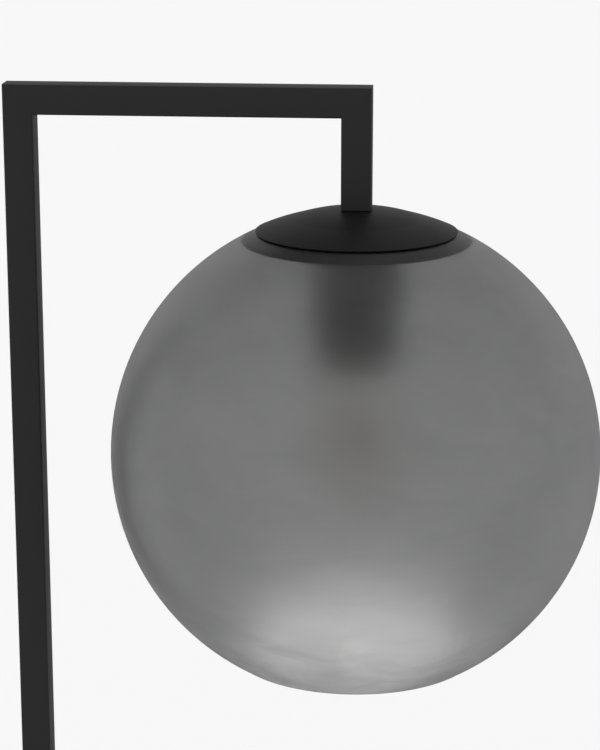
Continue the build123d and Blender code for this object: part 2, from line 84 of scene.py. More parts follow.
def arcPoints(centreR, centreZ, radius, start, end, count):
    # Points on a circle in the profile plane, (R + radius * sin t, Z + radius * cos t), with t in degrees,
    # clockwise from the top.
    t = np.radians(np.linspace(start, end, count))
    return np.stack([centreR + radius * np.sin(t), centreZ + radius * np.cos(t)], 1)


def reachAngle(reach, radius):
    # how far from the top, in degrees, a circle is as wide as the reach: arcsin(reach / radius)
    return np.degrees(np.arcsin(reach / radius))


def gridMesh(name, points, closedU=False, sharp=35):
    # A surface from a grid of points[u, v], closed along v. Quad (u, v) joins its neighbours (u+1, v),
    # (u+1, v+1), (u, v+1). Rows that shrink to a point are merged, and the faces are turned outwards by the
    # sign of the volume.
    nu, nv = points.shape[:2]
    u, v = np.meshgrid(np.arange(nu if closedU else nu - 1), np.arange(nv), indexing="ij")
    u2, v2 = (u + 1) % nu, (v + 1) % nv
    quads = np.stack([u * nv + v, u2 * nv + v, u2 * nv + v2, u * nv + v2], -1).reshape(-1, 4)
    co = points.reshape(-1, 3)
    a, b, c, d = (co[quads[:, i]] for i in range(4))
    volume = np.einsum("ij,ij->i", a, np.cross(b, c)).sum() + np.einsum("ij,ij->i", a, np.cross(c, d)).sum()
    if volume < 0:
        quads = quads[:, ::-1]
    mesh = bpy.data.meshes.new(name)
    mesh.from_pydata(co, [], quads)
    bm = bmesh.new()
    bm.from_mesh(mesh)
    bmesh.ops.remove_doubles(bm, verts=bm.verts, dist=weldDistance)
    bm.to_mesh(mesh)
    bm.free()
    mesh.polygons.foreach_set("use_smooth", np.ones(len(mesh.polygons), bool))
    mesh.set_sharp_from_angle(angle=radians(sharp))
    obj = bpy.data.objects.new(name, mesh)
    bpy.context.scene.collection.objects.link(obj)
    return obj


def turned(name, outline, centre, segments=96, closed=True, sharp=35, level=False):
    # A profile of (radius, height) in mm turned about an upright axis: (r cos a, r sin a, z) from the centre.
    # A level axis runs along x instead: (z, r cos a, r sin a).
    a = np.linspace(0, 2 * pi, segments, endpoint=False)
    r, z = outline[:, 0:1] * mm, outline[:, 1:2] * mm + 0 * a
    parts = [z, r * np.cos(a), r * np.sin(a)] if level else [r * np.cos(a), r * np.sin(a), z]
    return gridMesh(name, np.stack(parts, -1) + np.array(centre), closedU=closed, sharp=sharp)


def rodAlong(name, start, end, radius, segments=20, rings=14):
    # A straight rod with half-round ends (mm): rings at start + d * (s - r cos t), of radius r sin t, with t
    # from 0 to pi, where s steps half way from r to the rod's length less r.
    start, end = np.array(start, float), np.array(end, float)
    length = np.linalg.norm(end - start)
    d = (end - start) / length
    side = np.cross(d, [1.0, 0.0, 0.0])
    side /= np.linalg.norm(side)
    other = np.cross(d, side)
    t = np.sort(np.append(np.linspace(0, pi, rings), pi / 2))
    run = np.where(np.arange(len(t)) < len(t) / 2, radius, length - radius)
    a = np.linspace(0, 2 * pi, segments, endpoint=False)
    around = np.cos(a)[:, None] * side + np.sin(a)[:, None] * other
    middle = start + d * (run - radius * np.cos(t))[:, None]
    points = middle[:, None] + radius * np.sin(t)[:, None, None] * around
    return gridMesh(name, points * mm, sharp=60)


def sheetProfile(line, thickness, edge=3):
    # A sheet's closed outline: the line, its copy set off along the normal by the thickness, and half-round
    # edges. The normal of each point is the tangent (central difference) turned a quarter turn.
    tangent = np.gradient(line, axis=0)
    tangent /= np.linalg.norm(tangent, axis=1)[:, None]
    normal = np.stack([tangent[:, 1], -tangent[:, 0]], 1)
    inner = line + normal * thickness
    middle = line + normal * thickness / 2
    t = np.linspace(0, pi, edge + 2)[1:-1, None]
    endCap = middle[-1] - normal[-1] * np.cos(t) * thickness / 2 + tangent[-1] * np.sin(t) * thickness / 2
    startCap = middle[0] + normal[0] * np.cos(t) * thickness / 2 - tangent[0] * np.sin(t) * thickness / 2
    return np.concatenate([line, endCap, inner[::-1], startCap])


def place(obj, body, material, slotName, *replaced):
    # gives a finished piece its material and its body, and hides the CAD nodes that it stands for
    obj.data.materials.append(material)
    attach(obj, body)
    if replaced:
        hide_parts(*replaced)


def linear(hexColour):
    # sRGB hex to linear: v / 12.92 below 0.04045, else ((v + 0.055) / 1.055) ** 2.4
    v = np.array([int(hexColour[i:i + 2], 16) for i in (1, 3, 5)]) / 255
    v = np.where(v <= 0.04045, v / 12.92, ((v + 0.055) / 1.055) ** 2.4)
    return (*v.tolist(), 1.0)


def newMaterial(name):
    material = bpy.data.materials.new(name)
    material.use_nodes = True
    material.node_tree.nodes.clear()
    return material, material.node_tree


def node(tree, kind, settings=None, **links):
    # adds one node; settings go to its properties or sockets, links go to its sockets
    made = tree.nodes.new(kind)
    for key, value in (settings or {}).items():
        if key in made.inputs:
            made.inputs[key].default_value = value
        else:
            setattr(made, key, value)
    for key, socket in links.items():
        tree.links.new(socket, made.inputs[key.replace("_", " ")])
    return made


def closeMaterial(material, tree, shader):
    node(tree, "ShaderNodeOutputMaterial", None, Surface=shader)
    return material


def ramp(tree, factor, low, high):
    # spreads a 0..1 pattern between two numbers
    return node(tree, "ShaderNodeMapRange", {"To Min": low, "To Max": high}, Value=factor).outputs[0]


def mixColour(tree, factor, first, second):
    # spreads a 0..1 pattern between two hex colours, which are sockets 6 and 7 of a Mix node
    made = node(tree, "ShaderNodeMix", {"data_type": "RGBA"})
    tree.links.new(factor, made.inputs[0])
    made.inputs[6].default_value = linear(first)
    made.inputs[7].default_value = linear(second)
    return made.outputs[2]


def surfaceFinish(name, look):
    # Paint, plastic, rubber and metal share one build: cloudy colour, uneven roughness and a fine grain bump.
    material, tree = newMaterial(name)
    where = node(tree, "ShaderNodeTexCoord").outputs["Object"]
    cloud = node(tree, "ShaderNodeTexNoise", {
        "Scale": 1 / (look["cloudMm"] * mm), "Detail": 3.0,
    }, Vector=where)
    grain = node(tree, "ShaderNodeTexNoise", {
        "Scale": 1 / (look["grainMm"] * mm), "Detail": 2.0,
    }, Vector=where)
    colour = mixColour(tree, cloud.outputs[0], look["colour"], look["colour2"])
    roughness = ramp(tree, cloud.outputs[0], look["rough"][0], look["rough"][1])
    bump = node(tree, "ShaderNodeBump", {"Strength": look["bump"], "Distance": look["bumpMm"] * mm},
                Height=grain.outputs[0])
    shader = node(tree, "ShaderNodeBsdfPrincipled", {
        "Metallic": look.get("metallic", 0.0), "IOR": look.get("ior", 1.5),
        "Specular IOR Level": look.get("specular", 0.5),
    }, Base_Color=colour, Roughness=roughness, Normal=bump.outputs[0])
    return closeMaterial(material, tree, shader.outputs[0])


# A grain that is finer than the render can show, as on plating and moulded plastic, is drawn at 0.3 to 1 mm.
finishes = {
    # polyester powder coat, jet black: a fine orange-peel texture of about 0.4 mm, drawn at 0.8 mm to show
    "blackPowderCoat": dict(colour="#151516", colour2="#1a1a1b", rough=(0.5, 0.6), cloudMm=60, grainMm=0.8,
                            bump=0.35, bumpMm=0.03),
    # the same coat on spun steel, a little smoother
    "spunCapCoat": dict(colour="#0e0e0f", colour2="#121213", rough=(0.46, 0.54), cloudMm=80, grainMm=0.7,
                        bump=0.25, bumpMm=0.02, specular=0.26),
    # bright zinc plating over cold-rolled steel: bluish silver, faint spangle of about 3 mm
    "zincPlatedSteel": dict(colour="#a9adb0", colour2="#c3c6c6", rough=(0.28, 0.42), cloudMm=3, grainMm=0.5,
                            bump=0.1, bumpMm=0.02, metallic=1.0),
    # sand-cast grey iron: dark, dull, with a sand grain of about 0.6 mm
    "greyCastIron": dict(colour="#3b3937", colour2="#4a4643", rough=(0.6, 0.8), cloudMm=12, grainMm=0.6,
                         bump=0.8, bumpMm=0.2, metallic=0.7),
    # moulded synthetic rubber: black with a dusty bloom
    "mouldedRubber": dict(colour="#1c1c1c", colour2="#262625", rough=(0.65, 0.8), cloudMm=8, grainMm=0.5,
                          bump=0.3, bumpMm=0.03, ior=1.52),
    # clear silicone seal, slightly milky
    "milkySilicone": dict(colour="#c4c7c5", colour2="#d3d5d2", rough=(0.35, 0.5), cloudMm=10, grainMm=1.0,
                          bump=0.1, bumpMm=0.02, ior=1.41),
    # compression-moulded phenolic: black-brown and fairly glossy
    "mouldedPhenolic": dict(colour="#15120f", colour2="#1d1916", rough=(0.25, 0.35), cloudMm=6, grainMm=0.6,
                            bump=0.12, bumpMm=0.02, ior=1.6),
    # glazed steatite: off-white, glossy, with faint grey specks
    "glazedSteatite": dict(colour="#e6e0d2", colour2="#f0ece1", rough=(0.12, 0.2), cloudMm=4, grainMm=1.2,
                           bump=0.08, bumpMm=0.02, ior=1.55),
    # drawn brass strip: warm yellow, slightly dulled
    "drawnBrass": dict(colour="#b8924a", colour2="#caa45c", rough=(0.22, 0.36), cloudMm=3, grainMm=0.4,
                       bump=0.1, bumpMm=0.01, metallic=1.0),
    # nickel-plated sheet of a lamp cap
    "nickelPlate": dict(colour="#b9b5ac", colour2="#cfcbc1", rough=(0.2, 0.32), cloudMm=3, grainMm=0.4,
                        bump=0.08, bumpMm=0.01, metallic=1.0),
    # black insulating glass of a lamp cap
    "blackCapGlass": dict(colour="#0d0d10", colour2="#141417", rough=(0.08, 0.16), cloudMm=3, grainMm=0.8,
                          bump=0.05, bumpMm=0.02, ior=1.52),
    # silicone with yellow phosphor over the filament's chips
    "phosphorSilicone": dict(colour="#d9a441", colour2="#e6b757", rough=(0.4, 0.55), cloudMm=1.2, grainMm=0.3,
                             bump=0.2, bumpMm=0.02, ior=1.41),
    # injection-moulded nylon, natural white
    "mouldedNylon": dict(colour="#dcdad2", colour2="#e6e4dd", rough=(0.4, 0.5), cloudMm=5, grainMm=0.4,
                         bump=0.15, bumpMm=0.02, ior=1.53),
    # extruded PVC sheath, black, drawn lines too fine to see
    "extrudedSheath": dict(colour="#171717", colour2="#1e1e1e", rough=(0.42, 0.55), cloudMm=6, grainMm=0.5,
                           bump=0.12, bumpMm=0.02, ior=1.53),
    # PVC insulation of single wires, brown
    "wireInsulation": dict(colour="#4a2a18", colour2="#573320", rough=(0.35, 0.45), cloudMm=4, grainMm=0.5,
                           bump=0.08, bumpMm=0.02, ior=1.53),
    # closed-cell foam sheet, charcoal, cells of about 0.7 mm
    "closedCellFoam": dict(colour="#222222", colour2="#2c2c2b", rough=(0.8, 0.95), cloudMm=10, grainMm=0.7,
                           bump=0.6, bumpMm=0.1, ior=1.45),
}
looks = {name: surfaceFinish(name, look) for name, look in finishes.items()}

smokedGlassLook = {
    # through-coloured smoke grey; how far from square the view starts to darken it, and what share is left
    # where it slants most
    "tint": "#7e7e7e", "tint2": "#9f9f9f", "slantFrom": 0.45, "slantDark": 0.3,
    # acid-etched matt on both faces
    "ior": 1.52, "frost": (0.33, 0.39),
    # slow unevenness of the blown wall in level streaks, far stronger near the opening as painted highlight
    # streaks
    "cloudMm": 42, "flatten": (1.0, 1.0, 2.4), "detail": 4.0, "warp": 0.9, "uneven": 0.64,
    "paintedStreakHeightMm": 75, "paintedStreakContrast": 4.6,
    # the etch's grain is far finer, and is drawn at 1 mm so that it shows close up
    "grainMm": 1.0, "bump": 0.08, "bumpMm": 0.02,
}


def frostedSmokedGlass():
    # Blown soda-lime glass, coloured grey in the melt and acid-etched: it blurs what stands behind it, is
    # darker where the view slants, and has painted highlight streaks low down.
    look = smokedGlassLook
    material, tree = newMaterial("frostedSmokedGlass")
    where = node(tree, "ShaderNodeTexCoord").outputs["Object"]
    streaks = node(tree, "ShaderNodeMapping", {"Scale": look["flatten"]}, Vector=where)
    cloud = node(tree, "ShaderNodeTexNoise", {
        "Scale": 1 / (look["cloudMm"] * mm), "Detail": look["detail"], "Distortion": look["warp"],
    }, Vector=streaks.outputs[0])
    grain = node(tree, "ShaderNodeTexNoise", {
        "Scale": 1 / (look["grainMm"] * mm), "Detail": 2.0,
    }, Vector=where)
    bottom = nodeBox("globe")[0][2]
    height = node(tree, "ShaderNodeSeparateXYZ", None, Vector=where).outputs["Z"]
    # the cloud's contrast: the wall's own unevenness high up, rising near the opening to painted highlight
    # streaks
    unevenAndPaintedStreaks = node(tree, "ShaderNodeMapRange", {
        "interpolation_type": "SMOOTHSTEP", "From Min": bottom, "From Max": bottom + look["paintedStreakHeightMm"] * mm,
        "To Min": look["paintedStreakContrast"], "To Max": look["uneven"],
    }, Value=height).outputs[0]
    # the cloud's distance from its middle, 0.5, is spread by the contrast, raised near the opening to paint
    # highlight streaks
    shade = node(tree, "ShaderNodeMath", {"operation": "MULTIPLY_ADD"})
    tree.links.new(ramp(tree, cloud.outputs[0], -0.5, 0.5), shade.inputs[0])
    tree.links.new(unevenAndPaintedStreaks, shade.inputs[1])
    shade.inputs[2].default_value = 0.5
    tint = mixColour(tree, shade.outputs[0], look["tint"], look["tint2"])
    # a slanting view passes through more of the coloured wall
    facing = node(tree, "ShaderNodeLayerWeight", {"Blend": 0.5}).outputs["Facing"]
    slant = node(tree, "ShaderNodeMapRange", {
        "interpolation_type": "SMOOTHSTEP", "From Min": look["slantFrom"], "From Max": 1.0,
        "To Min": 1.0, "To Max": look["slantDark"],
    }, Value=facing).outputs[0]
    colour = node(tree, "ShaderNodeVectorMath", {"operation": "SCALE"}, Vector=tint, Scale=slant).outputs[0]
    frost = ramp(tree, cloud.outputs[0], look["frost"][0], look["frost"][1])
    bump = node(tree, "ShaderNodeBump", {"Strength": look["bump"], "Distance": look["bumpMm"] * mm},
                Height=grain.outputs[0])
    shader = node(tree, "ShaderNodeBsdfPrincipled", {
        "Transmission Weight": 1.0, "IOR": look["ior"],
    }, Base_Color=colour, Roughness=frost, Normal=bump.outputs[0])
    return closeMaterial(material, tree, shader.outputs[0])


bulbGlassLook = {
    # thin blown soda-lime glass, faintly warm grey
    "tint": "#f1f0ec", "tint2": "#f4f3f0", "ior": 1.52, "rough": (0.01, 0.05), "cloudMm": 25,
}


def clearBulbGlass():
    look = bulbGlassLook
    material, tree = newMaterial("clearBulbGlass")
    where = node(tree, "ShaderNodeTexCoord").outputs["Object"]
    cloud = node(tree, "ShaderNodeTexNoise", {
        "Scale": 1 / (look["cloudMm"] * mm), "Detail": 2.0,
    }, Vector=where)
    colour = mixColour(tree, cloud.outputs[0], look["tint"], look["tint2"])
    roughness = ramp(tree, cloud.outputs[0], look["rough"][0], look["rough"][1])
    shader = node(tree, "ShaderNodeBsdfPrincipled", {
        "Transmission Weight": 1.0, "IOR": look["ior"],
    }, Base_Color=colour, Roughness=roughness)
    return closeMaterial(material, tree, shader.outputs[0])


looks["frostedSmokedGlass"] = frostedSmokedGlass()
looks["clearBulbGlass"] = clearBulbGlass()
print("materials made:", len(looks))

# which finish each CAD node has where it shows
nodeFinish = {
    "closedCellFoam": ["base_pad"],
    "zincPlatedSteel": [
        "bottom_plate", "base_screws", "flange_screws", "terminal_screws", "block_screw", "post_flange",
        "post_coupler", "grub_screws", "drop_plug", "nipple", "plate_washer", "plate_nut", "bulb_wires",
    ],
    "greyCastIron": ["base_weight"],
    "blackPowderCoat": ["base_cover", "lower_post", "post_upper", "top_arm", "drop_arm"],
    "spunCapCoat": ["shade_cap", "shade_plate", "holder_cup"],
    "mouldedRubber": ["cable_grommet", "neck_washer", "plate_gasket"],
    "milkySilicone": ["cap_gasket", "centring_bush"],
    "frostedSmokedGlass": ["globe"],
    "mouldedPhenolic": ["holder_cover", "holder_body"],
    "glazedSteatite": ["holder_core"],
    "drawnBrass": ["holder_screws", "screw_shell", "centre_contact"],
    "clearBulbGlass": ["bulb_glass", "bulb_stem"],
    "nickelPlate": ["bulb_cap", "bulb_tip"],
    "blackCapGlass": ["bulb_insulator"],
    "phosphorSilicone": ["bulb_filaments"],
    "mouldedNylon": ["terminal_block"],
    "extrudedSheath": ["inner_cable"],
    "wireInsulation": ["base_wires", "holder_wires"],
}
for finish, names in nodeFinish.items():
    for name in names:
        nodes[name].data.materials.clear()
        nodes[name].data.materials.append(looks[finish])

# the camera stands where the photo was taken from: metres, degrees down and to the left, and mm
view = {"place": (0.2165, -1.5681, 1.7196), "down": 14.77, "left": 4.594, "lens": 116.06, "sensor": 36.0}
camera = bpy.data.objects.new("camera", bpy.data.cameras.new("camera"))
camera.data.lens = view["lens"]
camera.data.sensor_width = view["sensor"]
camera.location = view["place"]
camera.rotation_euler = (radians(90 - view["down"]), 0, radians(view["left"]))
bpy.context.scene.collection.objects.link(camera)
bpy.context.scene.camera = camera
print("camera set")

# frame of square tube, mm
tube = {"size": 20.0, "wall": 1.5, "corner": 1.6, "innerCorner": 0.4, "edgeBreak": 0.35}


def tubeSection(size, corner):
    # a square with round corners, centred on zero
    h = size / 2
    return rounded([(-h, -h, corner), (h, -h, corner), (h, h, corner), (-h, h, corner)], closed=True, steps=5)


def mitredTube(name, start, end, startNormal, endNormal, breaks):
    # Square tube from start to end (mm). Each line along the tube is q + t d, and it ends where it meets the
    # plane through the tube's end: t = ((p - q) . n) / (d . n). Free ends get a small broken edge.
    start, end = np.array(start, float), np.array(end, float)
    d = (end - start) / np.linalg.norm(end - start)
    side = np.array([0.0, 1.0, 0.0])
    across = np.cross(d, side)

    def line(section, p, n, back=0.0, shrink=0.0):
        scale = 1 - shrink / (tube["size"] / 2)
        q = start + (section[:, 0:1] * across + section[:, 1:2] * side) * scale
        n = np.array(n, float)
        t = ((np.array(p) - q) @ n) / (d @ n)
        return q + (t + back)[:, None] * d

    outer = tubeSection(tube["size"], tube["corner"])
    inner = tubeSection(tube["size"] - 2 * tube["wall"], tube["innerCorner"])
    cut = tube["edgeBreak"]
    rows = [line(inner, start, startNormal)]
    if breaks[0]:
        rows += [line(outer, start, startNormal, 0, cut), line(outer, start, startNormal, cut)]
    else:
        rows.append(line(outer, start, startNormal))
    if breaks[1]:
        rows += [line(outer, end, endNormal, -cut), line(outer, end, endNormal, 0, cut)]
    else:
        rows.append(line(outer, end, endNormal))
    rows.append(line(inner, end, endNormal))
    return gridMesh(name, np.stack(rows) * mm, closedU=True, sharp=30)


postLow, postHigh = nodeBox("lower_post")
armLow, armHigh = nodeBox("top_arm")
dropLow, dropHigh = nodeBox("drop_arm")
postX = (postLow[0] + postHigh[0]) / 2 / mm
globeX = (dropLow[0] + dropHigh[0]) / 2 / mm
armZ = (armLow[2] + armHigh[2]) / 2 / mm
jointZ = postHigh[2] / mm
up = (0, 0, 1)
postMitre, dropMitre = (1, 0, 1), (-1, 0, 1)
tubes = [
    ("lowerPost", (postX, 0, postLow[2] / mm), (postX, 0, jointZ), up, up, (False, True), "lower_post"),
    ("upperPost", (postX, 0, jointZ), (postX, 0, armZ), up, postMitre, (True, False), "post_upper"),
    ("topArm", (postX, 0, armZ), (globeX, 0, armZ), postMitre, dropMitre, (False, False), "top_arm"),
    ("dropArm", (globeX, 0, dropLow[2] / mm), (globeX, 0, armZ), up, dropMitre, (True, False), "drop_arm"),
]
for name, start, end, startNormal, endNormal, breaks, replaced in tubes:
    piece = mitredTube(name, start, end, startNormal, endNormal, breaks)
    place(piece, "lamp", looks["blackPowderCoat"], "frame_paint", replaced)
print("frame tubes made:", len(tubes))

# globe, and the bead on its opening: its radius, how many degrees before it the wall stops, and the share of
# a half turn that it sweeps to each side
globe = {
    "radius": 165.0, "wall": 2.2, "hole": 16.0, "opening": 84.7,
    "bead": 1.35, "beadBack": 0.5, "beadSweep": 0.42,
}
# the hole for the nipple in each sheet part, and how high the cap's top stands above the glass
nippleHole = 5.3
crownRise = 1.2
crownZ = globe["radius"] + crownRise
globeCentre = np.array([globeX * mm, 0.0, nodeBox("neck_washer")[0][2] - crownZ * mm])


def heightsOf(name):
    # lowest and highest point of a CAD node, in mm above the globe's centre
    low, high = nodeBox(name)
    return (low[2] - globeCentre[2]) / mm, (high[2] - globeCentre[2]) / mm


def globeGlass():
    # A ball's wall: outer and inner arcs of r = R sin a, z = R cos a from the hole to the opening. The
    # opening's lip is melted into a bead: a circle of the bead's radius on the wall's middle line.
    g = globe
    outerR, innerR, midR = g["radius"], g["radius"] - g["wall"], g["radius"] - g["wall"] / 2
    holeAngle = reachAngle(g["hole"], midR)
    openAngle = 180 - reachAngle(g["opening"], midR)
    outer = arcPoints(0, 0, outerR, holeAngle, openAngle - g["beadBack"], 120)
    inner = arcPoints(0, 0, innerR, openAngle - g["beadBack"], holeAngle, 120)
    beadMiddle = arcPoints(0, 0, midR, openAngle, openAngle, 1)[0]
    facing = np.radians(openAngle)
    t = np.linspace(-g["beadSweep"] * pi, g["beadSweep"] * pi, 11)[:, None]
    ahead = np.array([np.cos(facing), -np.sin(facing)])
    outward = np.array([np.sin(facing), np.cos(facing)])
    bead = beadMiddle + g["bead"] * (ahead * np.cos(t) - outward * np.sin(t))
    profile = np.concatenate([outer, bead, inner])
    return turned("globeGlass", profile, globeCentre, segments=224, sharp=60)


# the cap's outer face follows the glass at the distance "lift", which is its clearance and its sheet
cap = {"rim": 66.75, "shoulder": 42.5, "crown": 9.0, "bulge": 1.3, "sheet": 0.6, "lift": 0.7}


def bulgedArc(start, end, bulge, count):
    # A circular arc between two points that stands out from their chord by the bulge. Its radius is
    # (chord^2 / 4 + bulge^2) / (2 bulge), and its points are centre + radius * (along sin t + out cos t).
    start, end = np.array(start, float), np.array(end, float)
    chord = np.linalg.norm(end - start)
    radius = (chord ** 2 / 4 + bulge ** 2) / (2 * bulge)
    along = (end - start) / chord
    out = np.array([-along[1], along[0]])
    centre = (start + end) / 2 - out * (radius - bulge)
    half = np.arcsin(chord / 2 / radius)
    t = np.linspace(-half, half, count)[:, None]
    return centre + radius * (along * np.sin(t) + out * np.cos(t))


def domeCap():
    # flat crown, a swelling cone down to the shoulder, then a zone that follows the glass to the rim
    c = cap
    radius = globe["radius"] + c["lift"]
    shoulderAngle = reachAngle(c["shoulder"], radius)
    rimAngle = reachAngle(c["rim"], radius)
    shoulder = (c["shoulder"], radius * np.cos(radians(shoulderAngle)))
    line = np.concatenate([
        [(nippleHole, crownZ)],
        bulgedArc((c["crown"], crownZ), shoulder, c["bulge"], 24),
        arcPoints(0, 0, radius, shoulderAngle, rimAngle, 20)[1:],
    ])
    return turned("domeCap", sheetProfile(line, -c["sheet"]), globeCentre, segments=160, sharp=50)


plate = {"rim": 75.3, "crown": 24.0, "sheet": 1.0, "gap": 0.5}


def innerPlate():
    # flat middle, then a zone of a ball that stays inside the glass by the gap
    p = plate
    radius = globe["radius"] - globe["wall"] - p["gap"]
    crownAngle = reachAngle(p["crown"], radius)
    rimAngle = reachAngle(p["rim"], radius)
    line = np.concatenate([
        [(nippleHole, radius * np.cos(radians(crownAngle)))],
        arcPoints(0, 0, radius, crownAngle, rimAngle, 30),
    ])
    return turned("innerPlate", sheetProfile(line, -p["sheet"]), globeCentre, segments=160, sharp=50)


cup = {"radius": 28.5, "wall": 0.8, "round": 5.0}


def holderCup():
    # a drawn cup: flat top with a hole, round edge, straight wall
    bottom, top = heightsOf("holder_cup")
    line = rounded([(nippleHole, top), (cup["radius"], top, cup["round"]), (cup["radius"], bottom)], steps=8)
    return turned("holderCup", sheetProfile(line, -cup["wall"]), globeCentre, segments=96, sharp=50)


place(globeGlass(), "lamp", looks["frostedSmokedGlass"], "smoked_glass", "globe")
place(domeCap(), "lamp", looks["spunCapCoat"], "cap_paint", "shade_cap")
place(innerPlate(), "lamp", looks["spunCapCoat"], "cap_paint", "shade_plate")
place(holderCup(), "lamp", looks["spunCapCoat"], "cap_paint", "holder_cup")
print("head made")

# The bulb's screw cap and the shell that it goes into: crest radius, depth, wall, and how deep the thread is
# where it ends, below and above, as a share of the depth (0 the crest, 1 the root). The pitch is that of a
# 27 mm screw cap, seven turns to the inch, and a thread runs out over the share "runOut" of it.
thread = {"pitch": 3.629, "runOut": 0.8}
bulbScrew = {"radius": 13.0, "depth": 1.0, "wall": 0.4, "ends": (0, 1)}
holderScrew = {"radius": 13.8, "depth": 0.9, "wall": 0.3, "ends": (0, 0)}


def threadWall(name, replaced, screw, segments=72, perTurn=16):
    # A sheet-metal screw thread: r = R - depth * (1 - cos(2 pi (z / pitch - a / 2 pi))) / 2, which runs out
    # at each end. The inner face follows at the wall's thickness.
    low, high = heightsOf(replaced)
    pitch = thread["pitch"]
    z = np.linspace(low, high, int(ceil((high - low) / pitch * perTurn)))[:, None]
    a = np.linspace(0, 2 * pi, segments, endpoint=False)[None]
    wave = (1 - np.cos(2 * pi * (z / pitch - a / (2 * pi)))) / 2
    for end, share in zip((low, high), screw["ends"]):
        near = 1 - np.clip(np.abs(z - end) / (thread["runOut"] * pitch), 0, 1)
        wave = wave * (1 - near) + share * near
    outer = screw["radius"] - screw["depth"] * wave
    r = np.concatenate([outer, (outer - screw["wall"])[::-1]]) * mm
    zz = np.concatenate([z, z[::-1]]) * mm + 0 * a
    points = np.stack([r * np.cos(a), r * np.sin(a), zz], -1) + globeCentre
    return gridMesh(name, points, closedU=True, sharp=60)


bulb = {"radius": 30.0, "neck": 12.0, "neckLength": 14.0, "wall": 0.8}
capLow = heightsOf("bulb_cap")[0]
glassLow = heightsOf("bulb_glass")[0]
ballZ = glassLow + bulb["radius"]


def bulbEnvelope():
    # Neck, a flare tangent to neck and ball, and the ball. The flare's radius f solves
    # (neck + f)^2 + drop^2 = (ball + f)^2. The inner face has the same arcs, one wall further in.
    b = bulb
    drop = capLow - ballZ
    flare = (drop ** 2 + b["neck"] ** 2 - b["radius"] ** 2) / (2 * (b["radius"] - b["neck"]))
    meet = np.degrees(np.arctan2(b["neck"] + flare, drop))
    line = np.concatenate([
        [(b["neck"], capLow + b["neckLength"])],
        arcPoints(b["neck"] + flare, capLow, flare, 270, 180 + meet, 28),
        arcPoints(0, ballZ, b["radius"], meet, 180, 60)[1:],
    ])
    line[-1, 0] = 0.0
    inner = arcPoints(0, ballZ, b["radius"] - b["wall"], 180, meet, 60)
    inner[0, 0] = 0.0
    innerFlare = arcPoints(b["neck"] + flare, capLow, flare + b["wall"], 180 + meet, 270, 28)[1:]
    profile = np.concatenate([line, inner, innerFlare, [(b["neck"] - b["wall"], capLow + b["neckLength"])]])
    return turned("bulbEnvelope", profile, globeCentre, segments=96, sharp=60)


# the solder contact at the end of the bulb's cap, and the cone of black glass that carries it
tip = {"radius": 4.6}
insulator = {"radius": 12.6, "edge": 0.3, "tipRound": 1.0}


def bulbTip():
    # a flat foot and a solder dome, (radius * sin t, low + height * cos t)
    low, high = heightsOf("bulb_tip")
    t = np.radians(np.linspace(90, 0, 12))
    dome = np.stack([tip["radius"] * np.sin(t), low + (high - low) * np.cos(t)], 1)
    line = np.concatenate([[(0.0, low), (tip["radius"], low)], dome])
    line[-1, 0] = 0.0
    return turned("bulbTip", line, globeCentre, segments=48, closed=False, sharp=50)


def bulbInsulator():
    # a shallow cone from the cap to its tip
    low, high = heightsOf("bulb_insulator")
    line = rounded([
        (0, low), (insulator["radius"], low, insulator["edge"]),
        (tip["radius"], high, insulator["tipRound"]), (0, high),
    ], steps=4)
    return turned("bulbInsulator", line, globeCentre, segments=64, closed=False, sharp=50)


# the stem's rod, the foot that it widens into and the flange that closes the neck; the foot's height above
# the cap's lower rim, two depths below the flange's top, and the rounding of each corner in turn
stem = {
    "rod": 1.6, "foot": 5.0, "flange": 11.1,
    "footRise": 2.5, "flareDrop": 4.0, "flangeSheet": 1.2,
    "rounds": (2.0, 1.5, 3.0, 0.4, 0.4),
}


def bulbStem():
    # a glass rod with a half-round end that widens into a foot and flares out to the neck
    s = stem
    low, high = heightsOf("bulb_stem")
    end = arcPoints(0, low + s["rod"], s["rod"], 180, 90, 6)
    end[0, 0] = 0.0
    rounds = s["rounds"]
    body = rounded([
        (s["rod"], low + s["rod"]),
        (s["rod"], capLow, rounds[0]),
        (s["foot"], capLow + s["footRise"], rounds[1]),
        (s["foot"], high - s["flareDrop"], rounds[2]),
        (s["flange"], high - s["flangeSheet"], rounds[3]),
        (s["flange"], high, rounds[4]),
        (0, high),
    ])
    line = np.concatenate([end, body[1:]])
    return turned("bulbStem", line, globeCentre, segments=48, closed=False, sharp=50)


filament = {"count": 4, "radius": 0.9, "topRing": 5.0, "bottomRing": 9.0}


def filamentRods():
    # straight rods between two rings of points, (R cos a, R sin a), the narrow one above
    f = filament
    low, high = heightsOf("bulb_filaments")
    x, y, z = globeCentre / mm
    rods = []
    for i in range(f["count"]):
        a = 2 * pi * i / f["count"]
        top = (x + f["topRing"] * np.cos(a), y + f["topRing"] * np.sin(a), z + high)
        foot = (x + f["bottomRing"] * np.cos(a), y + f["bottomRing"] * np.sin(a), z + low)
        rods.append(rodAlong("filament%d" % (i + 1), foot, top, f["radius"]))
    return rods


# The lampholder's mouldings: the skirt, and the neck and shoulder of the cover. "bead" rounds the body's
# mouth and "edge" breaks the skirt's other edges.
holder = {
    "outer": 19.5, "inner": 17.3, "bead": 0.9, "edge": 0.3,
    "neck": 7.5, "bore": 5.1, "neckLength": 10, "shoulderLength": 8,
    "neckEdge": 0.5, "boreEdge": 0.4, "neckRound": 1.5,
    "shoulderRound": 3.0, "innerRound": 2.0, "shoulderWall": 1.1, "neckWall": 2.2,
}


def holderBody():
    # moulded ring with a bead round its mouth
    h = holder
    low, high = heightsOf("holder_body")
    line = rounded([
        (h["inner"], high, h["edge"]), (h["outer"], high, h["edge"]),
        (h["outer"], low, h["bead"]), (h["inner"], low, h["bead"]),
    ], closed=True, steps=5)
    return turned("holderBody", line, globeCentre, segments=96, sharp=50)


